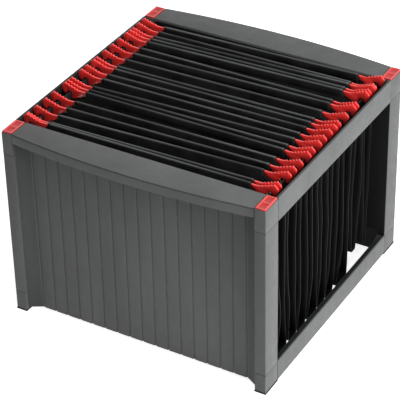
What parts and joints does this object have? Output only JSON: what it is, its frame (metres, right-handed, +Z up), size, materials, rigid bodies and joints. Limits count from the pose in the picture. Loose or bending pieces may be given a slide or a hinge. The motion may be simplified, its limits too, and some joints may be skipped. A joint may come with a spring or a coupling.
{
  "type": "portable file box",
  "caption": "Open-sided carrying box with bowed end handles, post corners and side rails, holding a row of suspension files on toothed hooks that lift out.",
  "frame": {"origin": "on the surface the box stands on, under the middle of the box", "axes": "+X to the right as the front end is seen, along the files; +Y from the front end to the back end, along the rails; +Z up"},
  "size_m": [0.3912, 0.414, 0.2933],
  "materials": {
    "grey_plastic": "matte",
    "dark_plastic": "matte",
    "pad_rubber": "matte",
    "red_plastic": "satin",
    "hook_red": "satin",
    "black_sheet": "satin",
    "bar_steel": "satin"
  },
  "bodies": {
    "box": {"front_top_bar": "grey_plastic", "back_top_bar": "grey_plastic", "front_panel": "grey_plastic", "back_panel": "grey_plastic", "front_liner": "dark_plastic", "back_liner": "dark_plastic", "front_left_post": "grey_plastic", "front_right_post": "grey_plastic", "back_left_post": "grey_plastic", "back_right_post": "grey_plastic", "front_left_foot": "grey_plastic", "front_right_foot": "grey_plastic", "back_left_foot": "grey_plastic", "back_right_foot": "grey_plastic", "front_left_foot_pad": "pad_rubber", "front_right_foot_pad": "pad_rubber", "back_left_foot_pad": "pad_rubber", "back_right_foot_pad": "pad_rubber", "front_left_corner_cap": "red_plastic", "front_right_corner_cap": "red_plastic", "back_left_corner_cap": "red_plastic", "back_right_corner_cap": "red_plastic", "left_top_rail": "grey_plastic", "right_top_rail": "grey_plastic", "left_bottom_rail": "grey_plastic", "right_bottom_rail": "grey_plastic", "left_hook_channel": "dark_plastic", "right_hook_channel": "dark_plastic"},
    "file_01": {"file_01_pocket": "black_sheet", "file_01_bars": "bar_steel", "file_01_hooks": "hook_red"},
    "file_02": {"file_02_pocket": "black_sheet", "file_02_bars": "bar_steel", "file_02_hooks": "hook_red"},
    "file_03": {"file_03_pocket": "black_sheet", "file_03_bars": "bar_steel", "file_03_hooks": "hook_red"},
    "file_04": {"file_04_pocket": "black_sheet", "file_04_bars": "bar_steel", "file_04_hooks": "hook_red"},
    "file_05": {"file_05_pocket": "black_sheet", "file_05_bars": "bar_steel", "file_05_hooks": "hook_red"},
    "file_06": {"file_06_pocket": "black_sheet", "file_06_bars": "bar_steel", "file_06_hooks": "hook_red"},
    "file_07": {"file_07_pocket": "black_sheet", "file_07_bars": "bar_steel", "file_07_hooks": "hook_red"},
    "file_08": {"file_08_pocket": "black_sheet", "file_08_bars": "bar_steel", "file_08_hooks": "hook_red"},
    "file_09": {"file_09_pocket": "black_sheet", "file_09_bars": "bar_steel", "file_09_hooks": "hook_red"},
    "file_10": {"file_10_pocket": "black_sheet", "file_10_bars": "bar_steel", "file_10_hooks": "hook_red"}
  },
  "joints": [
    {"name": "file_01_lift", "type": "slide", "parent": "box", "child": "file_01", "axis": [0, 0, 1], "range_m": [0, 0.29]},
    {"name": "file_02_lift", "type": "slide", "parent": "box", "child": "file_02", "axis": [0, 0, 1], "range_m": [0, 0.29]},
    {"name": "file_03_lift", "type": "slide", "parent": "box", "child": "file_03", "axis": [0, 0, 1], "range_m": [0, 0.29]},
    {"name": "file_04_lift", "type": "slide", "parent": "box", "child": "file_04", "axis": [0, 0, 1], "range_m": [0, 0.29]},
    {"name": "file_05_lift", "type": "slide", "parent": "box", "child": "file_05", "axis": [0, 0, 1], "range_m": [0, 0.29]},
    {"name": "file_06_lift", "type": "slide", "parent": "box", "child": "file_06", "axis": [0, 0, 1], "range_m": [0, 0.29]},
    {"name": "file_07_lift", "type": "slide", "parent": "box", "child": "file_07", "axis": [0, 0, 1], "range_m": [0, 0.29]},
    {"name": "file_08_lift", "type": "slide", "parent": "box", "child": "file_08", "axis": [0, 0, 1], "range_m": [0, 0.29]},
    {"name": "file_09_lift", "type": "slide", "parent": "box", "child": "file_09", "axis": [0, 0, 1], "range_m": [0, 0.29]},
    {"name": "file_10_lift", "type": "slide", "parent": "box", "child": "file_10", "axis": [0, 0, 1], "range_m": [0, 0.29]}
  ]
}
